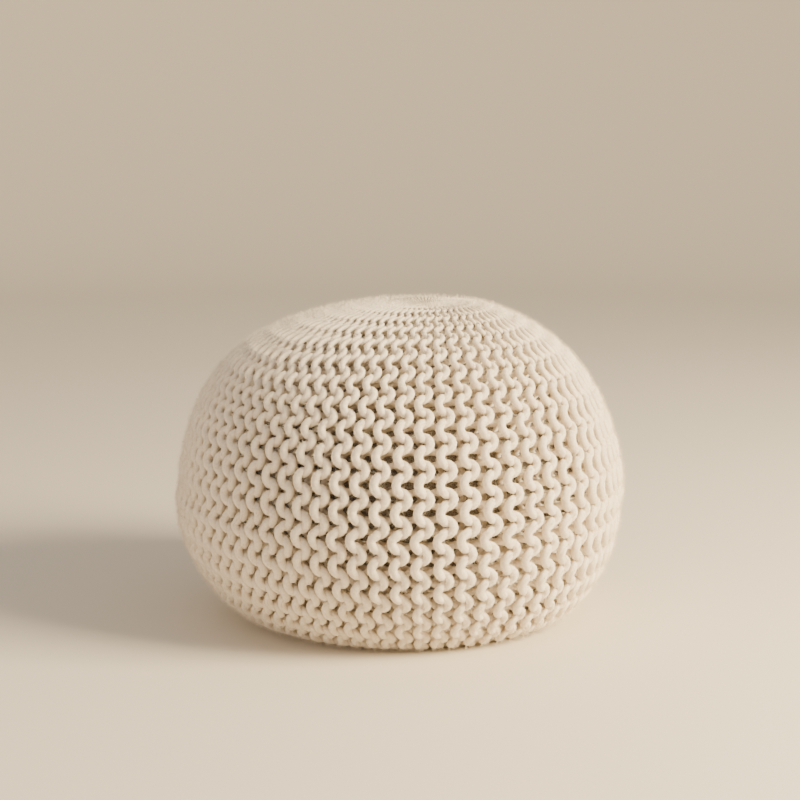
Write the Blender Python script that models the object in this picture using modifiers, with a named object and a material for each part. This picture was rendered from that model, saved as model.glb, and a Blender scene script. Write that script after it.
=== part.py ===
"""A round knitted pouf, filled: a crowned, slightly leaning body with ribs from pole to pole and a flat foot."""

import math

import bmesh
import bpy

# Sizes are in metres, and angles in radians.
COLLECTION_NAME = "pouf"
NODE_NAME = "knitted_pouf"

BODY_RADIUS = 0.250  # the belly, over the crests of the ribs
BELLY_HEIGHT = 0.140  # the widest ring above the floor
CROWN_RISE = 0.2005  # from the belly to the top, before its middle swells and the dimple is pressed in
CROWN_POWERS = (3.47, 1.80)  # how square the crown's quarter oval is, across and up
SWELL_RISE = 0.0213  # the middle of the crown stands up a little
SWELL_RADIUS = 0.090
UNDER_FALL = 0.1625  # from the belly down to where the underside would close, were there no floor
UNDER_POWERS = (3.08, 2.18)
DIMPLE_DEPTH = 0.017  # the crown is drawn in where the ribs gather
DIMPLE_RADIUS = 0.048
GATHER_RADIUS = 0.040  # the ribs gather under the foot too
GATHER_DEPTH = 0.005

LEAN_TOP = -0.009  # how far the whole crown lies towards +X, so it is set back a little
LEAN_FOOT = 0.008
POLE_SHIFT = 0.043  # how much further the crown's middle lies towards +X
SHIFT_RADIUS = 0.147

RIB_COUNT = 72
POINTS_PER_RIB = 3  # one in the valley and two on the crest
RIB_DEPTH = 0.007
RIB_FADE_START = 0.030  # ribs rise between these distances from the pole
RIB_FADE_END = 0.150
RIB_FOOT_SHARE = 0.6  # what is left of the ribs' depth at the foot's rim
SPACING_WAVES = 4  # the ribs lie closer and wider in turn, round the body
SPACING_SWING = 0.035

ROW_LENGTH = 0.033  # one ring of points for each of these lengths along the outline
CURVE_STEPS = 400

YARN_COLOUR = (0.80, 0.71, 0.58, 1.0)
YARN_ROUGHNESS = 0.95


def clear_scene():
    for item in list(bpy.data.objects):
        bpy.data.objects.remove(item, do_unlink=True)


def crown_point(angle):
    """A point of the upper outline: angle is 0 at the belly and a quarter turn at the top."""
    across, up = CROWN_POWERS
    radius = BODY_RADIUS * max(math.cos(angle), 0.0) ** (2 / across)
    swell = SWELL_RISE * math.exp(-((radius / SWELL_RADIUS) ** 2))
    dimple = DIMPLE_DEPTH * math.exp(-((radius / DIMPLE_RADIUS) ** 2))
    return radius, BELLY_HEIGHT + CROWN_RISE * math.sin(angle) ** (2 / up) + swell - dimple


def under_point(angle):
    """A point of the lower outline: angle is 0 at the belly and foot_angle() at the foot's rim."""
    across, down = UNDER_POWERS
    radius = BODY_RADIUS * math.cos(angle) ** (2 / across)
    return radius, max(BELLY_HEIGHT - UNDER_FALL * math.sin(angle) ** (2 / down), 0.0)


def foot_angle():
    """The angle of the lower outline at which it reaches the floor."""
    return math.asin((BELLY_HEIGHT / UNDER_FALL) ** (UNDER_POWERS[1] / 2))


def even_points(curve, start, end):
    """Points about ROW_LENGTH apart along curve, from angle start to angle end."""
    dense = [curve(start + (end - start) * i / CURVE_STEPS) for i in range(CURVE_STEPS + 1)]
    along = [0.0]
    for a, b in zip(dense, dense[1:]):
        along.append(along[-1] + math.dist(a, b))
    rows = round(along[-1] / ROW_LENGTH)
    points = []
    i = 0
    for row in range(rows + 1):
        target = along[-1] * row / rows
        while i < CURVE_STEPS and along[i] < target - 1e-9:
            i += 1
        points.append(dense[i])
    return points


def outline():
    """The turned outline, from the middle of the crown down its outer side to the middle of the foot."""
    crown = even_points(crown_point, math.pi / 2, 0.0)
    under = even_points(under_point, 0.0, foot_angle())
    crown[0] = (0.0, crown[0][1])
    under[-1] = (under[-1][0], 0.0)
    return crown + under[1:] + [(GATHER_RADIUS, 0.0), (0.0, GATHER_DEPTH)]


def turned_body():
    """The outline as a mesh, turned round the Z axis by a Screw modifier."""
    points = outline()
    mesh = bpy.data.meshes.new("outline")
    edges = [(i, i + 1) for i in range(len(points) - 1)]
    mesh.from_pydata([(radius, 0.0, height) for radius, height in points], edges, [])
    profile = bpy.data.objects.new("outline", mesh)
    bpy.context.scene.collection.objects.link(profile)
    screw = profile.modifiers.new("turn", "SCREW")
    screw.axis = "Z"
    screw.angle = 2 * math.pi
    screw.steps = screw.render_steps = RIB_COUNT * POINTS_PER_RIB
    screw.use_merge_vertices = True
    screw.merge_threshold = 0.0001
    bpy.context.view_layer.update()
    turned = bpy.data.meshes.new_from_object(profile.evaluated_get(bpy.context.evaluated_depsgraph_get()))
    bpy.data.objects.remove(profile, do_unlink=True)
    return turned


def rib_relief(radius, height):
    """How deep the valley between two ribs is there."""
    if height > BELLY_HEIGHT:
        share = (radius - RIB_FADE_START) / (RIB_FADE_END - RIB_FADE_START)
        return RIB_DEPTH * min(max(share, 0.0), 1.0)
    foot_share = 1 - height / BELLY_HEIGHT
    return RIB_DEPTH * (1 - (1 - RIB_FOOT_SHARE) * foot_share**2)


def lean(radius, height):
    """How far the ring of that radius and height is shifted towards +X."""
    if height <= BELLY_HEIGHT:
        return LEAN_FOOT * (1 - height / BELLY_HEIGHT) ** 2
    rise = (height - BELLY_HEIGHT) / CROWN_RISE
    return LEAN_TOP * rise**2 + POLE_SHIFT * math.exp(-((radius / SHIFT_RADIUS) ** 2))


def place_point(vertex):
    """Presses the valleys in, spreads the ribs unevenly and leans the body."""
    radius = math.hypot(vertex.co.x, vertex.co.y)
    height = vertex.co.z
    turn = math.atan2(vertex.co.y, vertex.co.x)
    column = round(turn / (2 * math.pi) * RIB_COUNT * POINTS_PER_RIB)
    outward = math.hypot(vertex.normal.x, vertex.normal.y)
    new_radius, new_height = radius, height
    on_foot = height < 1e-6
    inside_foot = radius < GATHER_RADIUS + 1e-6 and height < BELLY_HEIGHT
    if column % POINTS_PER_RIB == 0 and not inside_foot:
        relief = rib_relief(radius, height)
        new_radius -= relief if on_foot else relief * outward
        new_height -= 0.0 if on_foot else relief * vertex.normal.z
    uneven = turn - SPACING_SWING * math.cos(SPACING_WAVES * turn)
    vertex.co.x = new_radius * math.cos(uneven) + lean(radius, height)
    vertex.co.y = new_radius * math.sin(uneven)
    vertex.co.z = new_height


def shape_body(mesh):
    """Closes the turned mesh at its poles and gives it its ribs and its lean."""
    body = bmesh.new()
    body.from_mesh(mesh)
    bmesh.ops.remove_doubles(body, verts=body.verts, dist=0.0001)
    bmesh.ops.recalc_face_normals(body, faces=body.faces)
    body.normal_update()
    for vertex in body.verts:
        place_point(vertex)
    bmesh.ops.triangulate(body, faces=body.faces)
    body.to_mesh(mesh)
    body.free()


def yarn_material():
    material = bpy.data.materials.new("cream_yarn")
    material.use_nodes = True
    shader = material.node_tree.nodes["Principled BSDF"]
    shader.inputs["Base Color"].default_value = YARN_COLOUR
    shader.inputs["Roughness"].default_value = YARN_ROUGHNESS
    shader.inputs["Metallic"].default_value = 0.0
    return material


def build():
    clear_scene()
    collection = bpy.data.collections.new(COLLECTION_NAME)
    bpy.context.scene.collection.children.link(collection)
    mesh = turned_body()
    shape_body(mesh)
    mesh.name = NODE_NAME
    mesh.materials.append(yarn_material())
    mesh.shade_smooth()
    pouf = bpy.data.objects.new(NODE_NAME, mesh)
    collection.objects.link(pouf)


build()
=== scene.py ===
"""The looks of a knitted pouf: a garter-stitch cover of thick yarn, its fuzz and the casing behind it."""

import math

import bpy
import numpy as np
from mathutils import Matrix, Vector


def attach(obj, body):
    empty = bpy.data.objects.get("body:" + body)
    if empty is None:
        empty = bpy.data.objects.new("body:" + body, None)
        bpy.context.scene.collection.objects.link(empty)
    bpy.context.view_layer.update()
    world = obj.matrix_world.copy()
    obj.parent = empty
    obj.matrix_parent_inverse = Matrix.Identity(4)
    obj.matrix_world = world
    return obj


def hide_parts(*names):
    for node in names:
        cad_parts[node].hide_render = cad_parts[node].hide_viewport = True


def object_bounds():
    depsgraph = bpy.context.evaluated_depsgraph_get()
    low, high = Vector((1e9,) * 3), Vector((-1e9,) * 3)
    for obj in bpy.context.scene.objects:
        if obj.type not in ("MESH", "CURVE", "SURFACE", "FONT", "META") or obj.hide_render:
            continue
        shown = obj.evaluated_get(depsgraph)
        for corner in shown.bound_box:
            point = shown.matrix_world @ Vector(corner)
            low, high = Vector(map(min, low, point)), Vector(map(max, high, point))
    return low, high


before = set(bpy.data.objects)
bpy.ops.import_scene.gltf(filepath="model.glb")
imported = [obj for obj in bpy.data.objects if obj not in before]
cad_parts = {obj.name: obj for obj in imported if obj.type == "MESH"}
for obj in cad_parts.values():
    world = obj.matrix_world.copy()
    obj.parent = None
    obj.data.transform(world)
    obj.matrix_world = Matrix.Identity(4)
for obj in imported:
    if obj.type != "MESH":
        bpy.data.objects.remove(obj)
CAD_LOW, CAD_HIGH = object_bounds()
NODE = "knitted_pouf"
BODY = "root"

# The outline is the solid's own. Sizes are in metres, and angles in radians.
BODY_RADIUS = (CAD_HIGH.x - CAD_LOW.x) / 2
BELLY_HEIGHT = 0.140  # the widest ring above the floor
CROWN_RISE = 0.2005  # from the belly to the top, before its middle swells and the dimple is pressed in
CROWN_POWERS = (3.47, 1.80)  # how square the crown's quarter oval is, across and up
SWELL_RISE = 0.0213  # the middle of the crown stands up a little
SWELL_RADIUS = 0.090
UNDER_FALL = 0.1625  # from the belly down to where the underside would close, were there no floor
UNDER_POWERS = (3.08, 2.18)
DIMPLE_DEPTH = 0.017  # the crown is drawn in where the ribs gather
DIMPLE_RADIUS = 0.048
LEAN_TOP = -0.009  # how far the whole crown lies towards +X, so it is set back a little
LEAN_FOOT = 0.008
POLE_SHIFT = 0.043  # how much further the crown's middle lies towards +X
SHIFT_RADIUS = 0.147
FOOT_SWELL = 0.011  # the knit bulges this much over the foot's rim
FOOT_SWELL_HEIGHT = 0.030
OUTLINE_STEPS = 1500
NORMAL_SPREAD = 0.012  # the outline's direction is evened out over this length

# The knit. A rib is two courses of yarn, which run from pole to pole. A stitch starts between two of the
# loops on the rib's left side, the heads. The loops on its right side, the feet, lie between the heads.
RIB_COUNT = 72
RIB_START = math.radians(1.73)
# The ribs lie closer and wider round the body. Each wave: its number, its cosine's size and its sine's.
SPACING_WAVES = ((1, 0.003, 0.004), (2, 0.0185, -0.0295), (3, -0.013, -0.021), (4, -0.007, -0.015))
TWIST = (0.100, -0.073, 0.121)  # the ribs lean this much from the crown to the foot: all, cosine and sine
BOW = (0.010, 0.018, -0.016)  # they bow this much: all, cosine and sine
TWIST_MIDDLE = 0.45  # a share of the outline's length, as TWIST_REACH is
TWIST_REACH = 0.25
DRIFT = -0.095  # near the foot the ribs drift by this in one place
DRIFT_TURN = math.radians(-155)
DRIFT_SPREAD = math.radians(35)
DRIFT_START = 0.45  # metres down the outline from the crown's middle, as DRIFT_END is
DRIFT_END = 0.525
STITCH_LENGTH = 0.0271  # near the crown, and it grows by STITCH_GROWTH for each metre down the outline
STITCH_GROWTH = 0.0072
CROWN_STITCH_SHARE = 0.31  # how much shorter a stitch is at the crown's middle
CROWN_STITCH_REACH = 0.112
FOOT_STITCH_SHARE = 0.60  # how much shorter a stitch is at the foot's middle
FOOT_STITCH_REACH = 0.030
ROW_TILT = (-0.105, 0.227)  # the rows lie this many stitches higher round the belly: cosine and sine
SAG = 0.355  # the rows hang this many stitches lower in one place on the crown
SAG_TURN = math.radians(-127)
SAG_SPREAD = math.radians(29)
SAG_MIDDLE = 0.2755  # a share of the outline's length, as SAG_REACH is
SAG_REACH = 0.080

# Half a loop's yarn, from its front middle to its back middle: how far right of the heads' middle it lies at
# the belly, how far from the front middle along the rib in stitches, how deep, and its radius.
HEAD_LOOP = (
    (-0.0006, 0.000, 0.0046, 0.0048),
    (0.0000, 0.110, 0.0046, 0.0048),
    (0.0017, 0.215, 0.0049, 0.0048),
    (0.0038, 0.295, 0.0058, 0.0047),
    (0.0064, 0.338, 0.0085, 0.0044),
    (0.0100, 0.338, 0.0128, 0.0040),
    (0.0146, 0.303, 0.0146, 0.0036),
    (0.0190, 0.200, 0.0160, 0.0036),
    (0.0262, 0.500, 0.0235, 0.0035),
)
FOOT_LOOP = (
    (0.0121, 0.000, 0.0060, 0.0048),
    (0.0111, 0.120, 0.0061, 0.0048),
    (0.0085, 0.222, 0.0071, 0.0048),
    (0.0049, 0.274, 0.0090, 0.0047),
    (0.0010, 0.284, 0.0116, 0.0044),
    (-0.0028, 0.270, 0.0155, 0.0038),
    (-0.0080, 0.222, 0.0212, 0.0034),
    (-0.0158, 0.262, 0.0240, 0.0034),
    (-0.0214, 0.500, 0.0240, 0.0034),
)
HEAD_MIDDLE = 0.5  # where the loops' front middles lie in a stitch
FOOT_MIDDLE = 0.0
FRONT_DEPTHS = (0.001, 0.006)  # a loop passes from front to back over these depths
PLAIN_STEPS = (0, 2, 4, 6, -1)  # the steps of half a loop that are kept where the yarn is thin or hidden
DETAILED_ROWS = (3, 21)
GATHER_POWER = 0.9  # how the yarn thins as the ribs close up towards a pole
LEAST_YARN_SHARE = 0.10
PRESSED_SHARE = 0.22  # how much thicker the yarn is where it is pressed at the floor
PRESSED_HEIGHT = 0.022
POLE_GAP = 0.001  # the courses and the casing end this far along the outline from its ends
ACROSS_JITTER = 0.0003
PLACE_JITTER = 0.006
RADIUS_JITTER = 0.02
SECTORS = 8
SIDES = 7
SEED = 20

UV_LAYER = "yarn"
YARN_GIRTH = 0.029  # the way round the yarn, in its UVs
RIB_UV_STEP = 1.7  # the pattern on the yarn moves on by this from rib to rib
COURSE_UV_STEP = 0.9

FUZZ_COUNT = 200000
FUZZ_PIECES = 2
FUZZ_WIDTH = 0.00022
FUZZ_LENGTH = 0.0066
FUZZ_SHORTEST = 0.4  # the shortest fibre, as a share of FUZZ_LENGTH
FUZZ_GROWTH = 0.9  # how much longer the longest one is
FUZZ_GROWTH_ODDS = (1.5, 2.5)  # the two powers of the beta law for the lengths between
FUZZ_FROM_YARN = 0.7  # how far a fibre points straight out of its yarn, out of the knit, and astray
FUZZ_FROM_KNIT = 0.5
FUZZ_ASTRAY = 0.55
FUZZ_OVERHANG = 0.1  # fibres grow also where the yarn faces this much inwards

CASING_COLUMNS = 96
CASING_ROWS = 70
CASING_DEPTH = 0.0285  # under the knit's outer surface at the belly

FLOOR_COLUMNS = 96
FLOOR_RINGS = (1.0, 3.0)
FLOOR_RADIUS = 3.5  # where the floor begins to bend up
FLOOR_BEND = 1.5  # the bend's radius
FLOOR_BEND_ROWS = 13
FLOOR_WALL = 1.5  # how far the backdrop rises over the bend

YARN_DARK = (0.38, (0.72, 0.615, 0.495, 1.0))  # the place on the ramp, and the colour
YARN_LIGHT = (0.62, (0.88, 0.775, 0.64, 1.0))
YARN_SHEEN = (1.0, 0.95, 0.88, 1.0)
YARN_STRETCH = (300.0, 1500.0, 1.0)  # how fine the fibres' noise is along the yarn and across it
YARN_PATCH_SCALE = 400.0
YARN_PATCH_SHARE = 0.5  # how much of the pattern is patches, and the rest is fibres
FUZZ_COLOUR = (0.84, 0.735, 0.605, 1.0)
# The casing is brown cloth, and its colours are made darker still to paint the shade deep between the
# stitches.
CASING_DARK_WITH_PAINTED_SHADE = (0.35, (0.17, 0.14, 0.115, 1.0))
CASING_LIGHT_WITH_PAINTED_SHADE = (0.7, (0.56, 0.50, 0.43, 1.0))
CASING_SPECK_SCALE = 700.0
FLOOR_COLOUR = (0.75, 0.67, 0.56, 1.0)

# Each lamp: its name, place, size, power in watts and colour.
LAMPS = (
    ("key", (2.25, -0.95, 1.38), 1.3, 316.0, (1.0, 0.845, 0.55)),
    ("fill", (-2.3, -2.0, 0.9), 2.0, 26.0, (1.0, 0.97, 0.93)),
)
LAMP_TARGET = (0.0, 0.0, 0.15)
SKY_COLOUR = (1.0, 0.98, 0.95, 1.0)
SKY_STRENGTH = 0.52
CAMERA_PLACE = (0.0015, -2.0872, 0.5765)
CAMERA_PITCH = math.radians(90 - 9.17)
LENS = 85.0
SENSOR_WIDTH = 36.0

rng = np.random.default_rng(SEED)


def smooth_step(low, high, value):
    share = np.clip((value - low) / (high - low), 0.0, 1.0)
    return share * share * (3 - 2 * share)


def near(turn, middle, spread):
    """1 where the turn is that of middle, falling to 0 over spread on either side."""
    away = (turn - middle + math.pi) % (2 * math.pi) - math.pi
    return np.exp(-((away / spread) ** 2))


class Skin:
    """The pouf's outer surface, by the turn round it, the length down its outline and the height over it."""

    def __init__(self):
        radius, height = self.outline()
        steps = np.hypot(np.diff(radius), np.diff(height))
        along = np.concatenate([[0.0], np.cumsum(steps)])
        self.length = along[-1]
        self.along = np.linspace(0.0, self.length, OUTLINE_STEPS)
        self.radius = np.interp(self.along, along, radius)
        self.height = np.interp(self.along, along, height)
        out_r = self.evened(-np.gradient(self.height, self.along), -1)
        out_z = self.evened(np.gradient(self.radius, self.along), 1)
        size = np.hypot(out_r, out_z)
        self.out_r = out_r / size
        self.out_z = out_z / size

    @staticmethod
    def outline():
        """Radii and heights from the crown's middle, down the outer side, to the foot's middle."""
        angle = np.linspace(math.pi / 2, 0.0, OUTLINE_STEPS)
        crown_r = BODY_RADIUS * np.cos(angle).clip(0) ** (2 / CROWN_POWERS[0])
        crown_r[0] = 0.0
        swell = SWELL_RISE * np.exp(-((crown_r / SWELL_RADIUS) ** 2))
        dimple = DIMPLE_DEPTH * np.exp(-((crown_r / DIMPLE_RADIUS) ** 2))
        crown_z = BELLY_HEIGHT + CROWN_RISE * np.sin(angle) ** (2 / CROWN_POWERS[1]) + swell - dimple
        foot_angle = math.asin((BELLY_HEIGHT / UNDER_FALL) ** (UNDER_POWERS[1] / 2))
        angle = np.linspace(0.0, foot_angle, OUTLINE_STEPS)[1:]
        under_r = BODY_RADIUS * np.cos(angle) ** (2 / UNDER_POWERS[0])
        under_z = BELLY_HEIGHT - UNDER_FALL * np.sin(angle) ** (2 / UNDER_POWERS[1])
        foot_r = np.linspace(under_r[-1], 0.0, OUTLINE_STEPS)[1:]
        radius = np.concatenate([crown_r, under_r, foot_r])
        height = np.concatenate([crown_z, under_z, np.zeros(len(foot_r))])
        return radius, height

    def evened(self, values, mirror):
        """values averaged over NORMAL_SPREAD, reflected at both poles."""
        reach = round(NORMAL_SPREAD / self.length * OUTLINE_STEPS)
        before = mirror * values[reach:0:-1]
        after = mirror * values[-2 : -reach - 2 : -1]
        kernel = np.hanning(2 * reach + 3)[1:-1]
        return np.convolve(np.concatenate([before, values, after]), kernel / kernel.sum(), "valid")

    def read(self, values, along):
        return np.interp(along, self.along, values)

    def uneven(self, turn, along):
        """The true angle of a place, once the ribs' uneven spacing, twist, bow and drift are added."""
        down = np.tanh((along / self.length - TWIST_MIDDLE) / TWIST_REACH)
        angle = turn + TWIST[0] * down + BOW[0] * down**2
        angle = angle + (TWIST[1] * down + BOW[1] * down**2) * np.cos(turn)
        angle = angle + (TWIST[2] * down + BOW[2] * down**2) * np.sin(turn)
        drift = DRIFT * smooth_step(DRIFT_START, DRIFT_END, along)
        angle = angle + drift * near(turn, DRIFT_TURN, DRIFT_SPREAD)
        for wave, cosine, sine in SPACING_WAVES:
            angle = angle + cosine * np.cos(wave * turn) + sine * np.sin(wave * turn)
        return angle

    def lean(self, radius, height):
        """How far the ring of that radius and height is shifted towards +X."""
        rise = np.clip((height - BELLY_HEIGHT) / CROWN_RISE, 0.0, 1.0)
        fall = np.clip(1 - height / BELLY_HEIGHT, 0.0, 1.0)
        upper = LEAN_TOP * rise**2 + POLE_SHIFT * np.exp(-((radius / SHIFT_RADIUS) ** 2))
        return np.where(height > BELLY_HEIGHT, upper, LEAN_FOOT * fall**2)

    def point(self, turn, along, over):
        """The place over the surface at that turn and length down the outline."""
        radius = self.read(self.radius, along)
        height = self.read(self.height, along)
        lean = self.lean(radius, height)
        uneven = self.uneven(turn, along)
        swell = FOOT_SWELL * np.exp(-((height / FOOT_SWELL_HEIGHT) ** 2))
        radius = radius + (over + swell) * self.read(self.out_r, along)
        height = height + over * self.read(self.out_z, along)
        return np.stack([radius * np.cos(uneven) + lean, radius * np.sin(uneven), height], -1)

    def outward(self, turn, along):
        """The surface's outward direction there."""
        uneven = self.uneven(turn, along)
        out_r = self.read(self.out_r, along)
        out_z = self.read(self.out_z, along)
        return np.stack([out_r * np.cos(uneven), out_r * np.sin(uneven), out_z], -1)


skin = Skin()


def stitch_counts():
    """How many stitches lie between the crown's middle and each step of the outline."""
    length = STITCH_LENGTH * (1 - CROWN_STITCH_SHARE * np.exp(-skin.along / CROWN_STITCH_REACH))
    length += STITCH_GROWTH * skin.along
    length *= 1 - FOOT_STITCH_SHARE * np.exp((skin.along - skin.length) / FOOT_STITCH_REACH)
    return np.concatenate([[0.0], np.cumsum(np.diff(skin.along) / length[1:])])


COUNTS = stitch_counts()
STITCHES = int(COUNTS[-1])


def yarn_share(along):
    """The yarn's thickness there, as a share of its thickness at the belly."""
    share = skin.read(skin.radius, along) / BODY_RADIUS
    return np.maximum(share**GATHER_POWER, LEAST_YARN_SHARE)


def whole_loop(half, front_middle):
    """One loop's yarn in order along the rib: across, place, depth and radius, and how far forward it is."""
    half = np.array(half)
    before = half[:0:-1] * [1, -1, 1, 1]
    loop = np.concatenate([before, half[:-1]])
    loop[:, 1] += front_middle
    front_depth, back_depth = half[0, 2] + np.array(FRONT_DEPTHS)
    return loop, 1 - smooth_step(front_depth, back_depth, loop[:, 2])


def loops(half, front_middle, stitches):
    """The yarn of these stitches, as a list of steps along the course, each with how far forward it is."""
    loop, front = whole_loop(half, front_middle)
    jitter = rng.normal(0.0, 1.0, (len(stitches), 1, 4)) * front[None, :, None]
    steps = np.empty((len(stitches), len(loop), 5))
    steps[..., 0] = loop[None, :, 0] + ACROSS_JITTER * jitter[..., 0]
    steps[..., 1] = loop[None, :, 1] + PLACE_JITTER * jitter[..., 1] + stitches[:, None]
    steps[..., 2] = loop[None, :, 2] + ACROSS_JITTER * jitter[..., 2]
    steps[..., 3] = loop[None, :, 3] * (1 + RADIUS_JITTER * jitter[..., 3])
    steps[..., 4] = front
    return steps.reshape(-1, 5)


def row_shift(turn, along):
    """How many stitches higher the rows lie there."""
    share = along / skin.length
    tilt = ROW_TILT[0] * math.cos(turn) + ROW_TILT[1] * math.sin(turn)
    sag = SAG * near(turn, SAG_TURN, SAG_SPREAD) * np.exp(-(((share - SAG_MIDDLE) / SAG_REACH) ** 2))
    return tilt * np.sin(math.pi * share) - sag


def course(rib, left):
    """One course's centre line: its points, its radii, its outward directions and how far forward it is."""
    half, front_middle = (HEAD_LOOP, HEAD_MIDDLE) if left else (FOOT_LOOP, FOOT_MIDDLE)
    plain = [half[i] for i in PLAIN_STEPS]
    first, last = DETAILED_ROWS
    crown = loops(plain, front_middle, np.arange(-1, first))
    side = loops(half, front_middle, np.arange(first, last))
    under = loops(plain, front_middle, np.arange(last, STITCHES + 2))
    across, place, depth, radius, forward = np.concatenate([crown, side, under]).T
    turn = RIB_START + rib * 2 * math.pi / RIB_COUNT
    along = np.interp(place, COUNTS, skin.along)
    along = np.interp(place - row_shift(turn, along), COUNTS, skin.along)
    kept = (place > 0.0) & (along > POLE_GAP) & (along < skin.length - POLE_GAP)
    parts = (along, across, depth, radius, forward)
    along, across, depth, radius, forward = (part[kept] for part in parts)
    share = yarn_share(along)
    turn = turn + across / BODY_RADIUS
    points = skin.point(turn, along, -depth * share)
    pressed = 1 + PRESSED_SHARE * np.exp(-((points[:, 2] / PRESSED_HEIGHT) ** 2))
    return points, radius * share * pressed, skin.outward(turn, along), forward


def tube(points, radii, ups):
    """The rings of a tube round a centre line, their outward directions and the length along it at each."""
    tangent = np.gradient(points, axis=0)
    tangent /= np.linalg.norm(tangent, axis=1, keepdims=True)
    side = np.cross(tangent, ups)
    side /= np.linalg.norm(side, axis=1, keepdims=True)
    up = np.cross(side, tangent)
    # A ring starts at the yarn's inner side, so the seam of its UVs is hidden.
    angle = np.linspace(0.0, 2 * math.pi, SIDES, endpoint=False) + math.pi
    outward = np.cos(angle)[None, :, None] * up[:, None] + np.sin(angle)[None, :, None] * side[:, None]
    rings = points[:, None] + radii[:, None, None] * outward
    steps = np.linalg.norm(np.diff(points, axis=0), axis=1)
    return rings, outward, np.concatenate([[0.0], np.cumsum(steps)])


def mesh_object(name, vertices, faces, uv=None):
    """A smooth object from vertices, faces with the same number of corners each, and UVs by corner."""
    mesh = bpy.data.meshes.new(name)
    corners = faces.shape[1]
    mesh.vertices.add(len(vertices))
    mesh.vertices.foreach_set("co", vertices.astype(np.float32).ravel())
    mesh.loops.add(faces.size)
    mesh.loops.foreach_set("vertex_index", faces.astype(np.int32).ravel())
    mesh.polygons.add(len(faces))
    mesh.polygons.foreach_set("loop_start", np.arange(0, faces.size, corners, dtype=np.int32))
    mesh.polygons.foreach_set("loop_total", np.full(len(faces), corners, np.int32))
    if uv is not None:
        layer = mesh.uv_layers.new(name=UV_LAYER)
        layer.uv.foreach_set("vector", uv.astype(np.float32).ravel())
    mesh.update()
    mesh.validate()
    mesh.shade_smooth()
    thing = bpy.data.objects.new(name, mesh)
    bpy.context.scene.collection.objects.link(thing)
    return thing


def ring_quads(rings, sides):
    """The quads between closed rings of points, and each corner's ring and its place round the ring."""
    ring, side = np.meshgrid(np.arange(rings - 1), np.arange(sides), indexing="ij")
    ring, side = ring.ravel(), side.ravel()
    corner_ring = np.stack([ring, ring + 1, ring + 1, ring], 1)
    corner_side = np.stack([side, side, side + 1, side + 1], 1)
    return corner_ring * sides + corner_side % sides, corner_ring, corner_side


def knit_sector(number, strands):
    """One eighth of the cover, as the tubes of its courses. Adds their surfaces to strands, for the fuzz."""
    vertices, faces, uvs = [], [], []
    start = 0
    ribs = RIB_COUNT // SECTORS
    for rib in range(number * ribs, (number + 1) * ribs):
        for left in (True, False):
            points, radii, ups, forward = course(rib, left)
            rings, outward, lengths = tube(points, radii, ups)
            rings[..., 2] = np.maximum(rings[..., 2], 0.0)
            quads, corner_ring, corner_side = ring_quads(len(points), SIDES)
            uv = np.stack([lengths[corner_ring], corner_side / SIDES * YARN_GIRTH], -1)
            uv[..., 0] += rib * RIB_UV_STEP + left * COURSE_UV_STEP
            vertices.append(rings.reshape(-1, 3))
            faces.append(quads + start)
            uvs.append(uv.reshape(-1, 2))
            strands.append((rings, outward, forward, ups, radii))
            start += len(points) * SIDES
    return mesh_object(
        f"knit_cover_{number + 1}", np.concatenate(vertices), np.concatenate(faces), np.concatenate(uvs)
    )


def fuzz(strands):
    """Fine fibres that stand out of the yarn wherever it shows."""
    ends = [np.concatenate([rings[1:], rings[-1:]]) for rings, *rest in strands]
    starts = np.concatenate([rings.reshape(-1, 3) for rings, *rest in strands])
    ends = np.concatenate([end.reshape(-1, 3) for end in ends])
    outward = np.concatenate([ring.reshape(-1, 3) for _, ring, *rest in strands])
    ups = np.concatenate([up.repeat(SIDES, 0) for _, _, _, up, _ in strands])
    forward = np.concatenate([front.repeat(SIDES) for _, _, front, _, _ in strands])
    radii = np.concatenate([radius.repeat(SIDES) for *rest, radius in strands])
    facing = np.clip((outward * ups).sum(1) + FUZZ_OVERHANG, 0.0, 1.0)
    weight = forward * facing * radii * np.linalg.norm(ends - starts, axis=1)
    picked = rng.choice(len(weight), FUZZ_COUNT, p=weight / weight.sum())
    share = rng.random((FUZZ_COUNT, 1))
    root = starts[picked] + (ends[picked] - starts[picked]) * share
    astray = rng.normal(0.0, FUZZ_ASTRAY, (FUZZ_COUNT, 3))
    direction = outward[picked] * FUZZ_FROM_YARN + ups[picked] * FUZZ_FROM_KNIT + astray
    direction /= np.linalg.norm(direction, axis=1, keepdims=True)
    side = np.cross(direction, rng.normal(0.0, 1.0, (FUZZ_COUNT, 3)))
    side *= FUZZ_WIDTH / 2 / np.linalg.norm(side, axis=1, keepdims=True)
    growth = FUZZ_GROWTH * rng.beta(*FUZZ_GROWTH_ODDS, (FUZZ_COUNT, 1))
    length = FUZZ_LENGTH * (FUZZ_SHORTEST + growth)
    corners = np.stack([root - side, root + side, root + direction * length], 1)
    corners[..., 2] = np.maximum(corners[..., 2], 0.0)
    pieces = []
    for number, group in enumerate(np.array_split(corners, FUZZ_PIECES)):
        faces = np.arange(len(group) * 3).reshape(-1, 3)
        pieces.append(mesh_object(f"fuzz_{number + 1}", group.reshape(-1, 3), faces))
    return pieces


def casing():
    """The plain cloth skin that shows dimly between the stitches, in a colour darkened to paint their shade.
    """
    turn = np.linspace(0.0, 2 * math.pi, CASING_COLUMNS, endpoint=False)
    along = np.linspace(POLE_GAP, skin.length - POLE_GAP, CASING_ROWS)
    turn, along = np.meshgrid(turn, along)
    points = skin.point(turn, along, -CASING_DEPTH * yarn_share(along))
    quads = ring_quads(CASING_ROWS, CASING_COLUMNS)[0]
    return mesh_object("inner_casing", points.reshape(-1, 3), quads)


def new_material(name, roughness, specular):
    """A material with its node tree and its shader."""
    material = bpy.data.materials.new(name)
    material.use_nodes = True
    tree = material.node_tree
    shader = tree.nodes["Principled BSDF"]
    shader.inputs["Roughness"].default_value = roughness
    shader.inputs["Specular IOR Level"].default_value = specular
    return material, tree, shader


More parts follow.
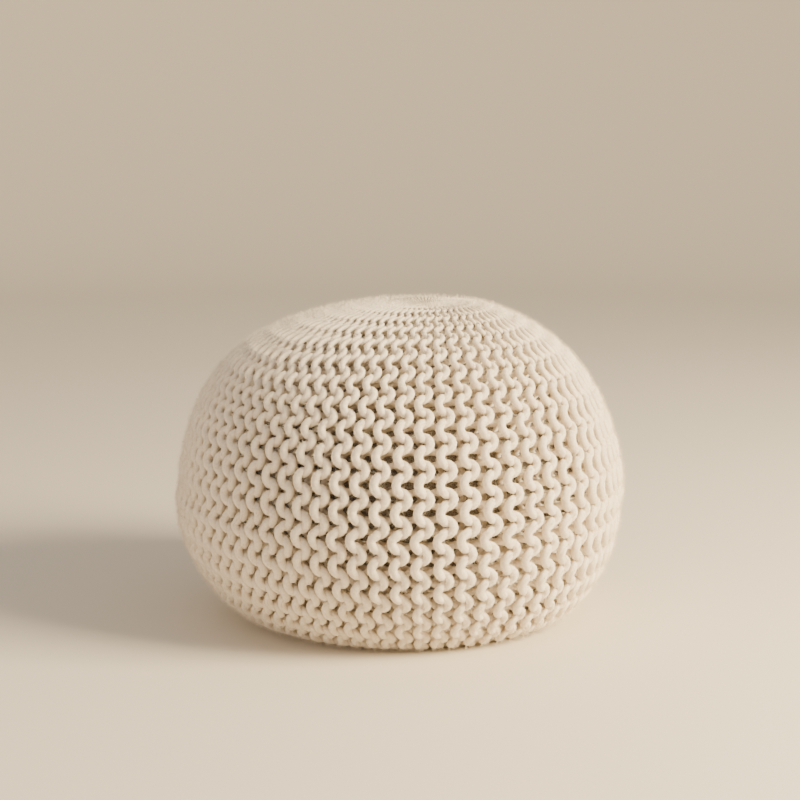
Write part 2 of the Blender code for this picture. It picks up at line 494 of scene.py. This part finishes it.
def new_node(tree, kind, **inputs):
    """A shader node with its inputs set by name."""
    made = tree.nodes.new(kind)
    for name, value in inputs.items():
        made.inputs[name].default_value = value
    return made


def colour_ramp(tree, low, high):
    """A ramp between two colours, each given after its place on the ramp."""
    ramp = tree.nodes.new("ShaderNodeValToRGB")
    ramp.color_ramp.elements[0].position, ramp.color_ramp.elements[0].color = low
    ramp.color_ramp.elements[1].position, ramp.color_ramp.elements[1].color = high
    return ramp


def fibre_noise(tree):
    """Fine streaks along the yarn."""
    coordinates = tree.nodes.new("ShaderNodeUVMap")
    coordinates.uv_map = UV_LAYER
    stretch = new_node(tree, "ShaderNodeMapping", Scale=YARN_STRETCH)
    fibres = new_node(tree, "ShaderNodeTexNoise", Scale=1.0, Detail=4.0, Roughness=0.6)
    tree.links.new(coordinates.outputs["UV"], stretch.inputs["Vector"])
    tree.links.new(stretch.outputs["Vector"], fibres.inputs["Vector"])
    return fibres


def space_noise(tree, scale, detail):
    """Noise that doesn't follow the yarn."""
    space = tree.nodes.new("ShaderNodeTexCoord")
    noise = new_node(tree, "ShaderNodeTexNoise", Scale=scale, Detail=detail)
    tree.links.new(space.outputs["Object"], noise.inputs["Vector"])
    return noise


def blended(tree, first, second, second_share):
    """A node whose value is a blend of two noises."""
    part = new_node(tree, "ShaderNodeMath")
    part.operation = "MULTIPLY"
    part.inputs[1].default_value = second_share
    tree.links.new(second.outputs["Fac"], part.inputs[0])
    whole = new_node(tree, "ShaderNodeMath")
    whole.operation = "MULTIPLY_ADD"
    whole.inputs[1].default_value = 1 - second_share
    tree.links.new(first.outputs["Fac"], whole.inputs[0])
    tree.links.new(part.outputs["Value"], whole.inputs[2])
    return whole


def yarn_material():
    material, tree, shader = new_material("cream_wool", 0.9, 0.25)
    shader.inputs["Sheen Weight"].default_value = 0.35
    shader.inputs["Sheen Roughness"].default_value = 0.5
    shader.inputs["Sheen Tint"].default_value = YARN_SHEEN
    pattern = blended(tree, fibre_noise(tree), space_noise(tree, YARN_PATCH_SCALE, 4.0), YARN_PATCH_SHARE)
    tint = colour_ramp(tree, YARN_DARK, YARN_LIGHT)
    tree.links.new(pattern.outputs["Value"], tint.inputs["Fac"])
    tree.links.new(tint.outputs["Color"], shader.inputs["Base Color"])
    bump = new_node(tree, "ShaderNodeBump", Strength=0.6, Distance=0.0012)
    tree.links.new(pattern.outputs["Value"], bump.inputs["Height"])
    tree.links.new(bump.outputs["Normal"], shader.inputs["Normal"])
    return material


def fuzz_material():
    material, _, shader = new_material("wool_fibres", 0.8, 0.2)
    shader.inputs["Base Color"].default_value = FUZZ_COLOUR
    return material


def casing_painted_shade_material():
    # Brown cloth, darkened further to paint the shade between the stitches.
    material, tree, shader = new_material("brown_casing_painted_shade", 0.95, 0.1)
    specks = space_noise(tree, CASING_SPECK_SCALE, 3.0)
    tint = colour_ramp(tree, CASING_DARK_WITH_PAINTED_SHADE, CASING_LIGHT_WITH_PAINTED_SHADE)
    tree.links.new(specks.outputs["Fac"], tint.inputs["Fac"])
    tree.links.new(tint.outputs["Color"], shader.inputs["Base Color"])
    return material


def floor_material():
    material, _, shader = new_material("pale_floor", 0.7, 0.5)
    shader.inputs["Base Color"].default_value = FLOOR_COLOUR
    return material


def dress(piece, material):
    """Gives a piece its material and its body, and hides the node that it replaces."""
    piece.data.materials.append(material)
    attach(piece, BODY)
    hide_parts(NODE)


def add_floor():
    """A pale floor that curves up into a backdrop all round."""
    bend = np.linspace(0.0, math.pi / 2, FLOOR_BEND_ROWS)
    bend_radius = FLOOR_RADIUS + FLOOR_BEND * np.sin(bend)
    bend_height = FLOOR_BEND * (1 - np.cos(bend))
    radius = np.concatenate([FLOOR_RINGS, bend_radius, [FLOOR_RADIUS + FLOOR_BEND]])
    height = np.concatenate([np.zeros(len(FLOOR_RINGS)), bend_height, [FLOOR_BEND + FLOOR_WALL]])
    turn, radius = np.meshgrid(np.linspace(0.0, 2 * math.pi, FLOOR_COLUMNS, endpoint=False), radius)
    height = np.broadcast_to(height[:, None], radius.shape)
    points = np.stack([radius * np.cos(turn), radius * np.sin(turn), height], -1)
    faces = [list(range(FLOOR_COLUMNS))] + ring_quads(len(points), FLOOR_COLUMNS)[0].tolist()
    mesh = bpy.data.meshes.new("floor")
    mesh.from_pydata(points.reshape(-1, 3).tolist(), [], faces)
    mesh.shade_smooth()
    floor = bpy.data.objects.new("floor", mesh)
    bpy.context.scene.collection.objects.link(floor)
    floor.data.materials.append(floor_material())


def add_lamp(name, place, size, power, colour):
    light = bpy.data.lights.new(name, "AREA")
    light.shape = "SQUARE"
    light.size = size
    light.energy = power
    light.color = colour
    lamp = bpy.data.objects.new(name, light)
    lamp.location = place
    direction = Vector(LAMP_TARGET) - Vector(place)
    lamp.rotation_euler = direction.to_track_quat("-Z", "Y").to_euler()
    bpy.context.scene.collection.objects.link(lamp)


def add_light():
    for lamp in LAMPS:
        add_lamp(*lamp)
    world = bpy.data.worlds.new("studio")
    bpy.context.scene.world = world
    world.use_nodes = True
    background = world.node_tree.nodes["Background"]
    background.inputs["Color"].default_value = SKY_COLOUR
    background.inputs["Strength"].default_value = SKY_STRENGTH


def add_camera():
    data = bpy.data.cameras.new("camera")
    data.lens = LENS
    data.sensor_width = SENSOR_WIDTH
    camera = bpy.data.objects.new("camera", data)
    camera.location = CAMERA_PLACE
    camera.rotation_euler = (CAMERA_PITCH, 0.0, 0.0)
    bpy.context.scene.collection.objects.link(camera)
    bpy.context.scene.camera = camera


def build():
    strands = []
    yarn = yarn_material()
    for number in range(SECTORS):
        dress(knit_sector(number, strands), yarn)
    fibres = fuzz_material()
    for piece in fuzz(strands):
        dress(piece, fibres)
    dress(casing(), casing_painted_shade_material())
    add_floor()
    add_light()
    add_camera()


build()
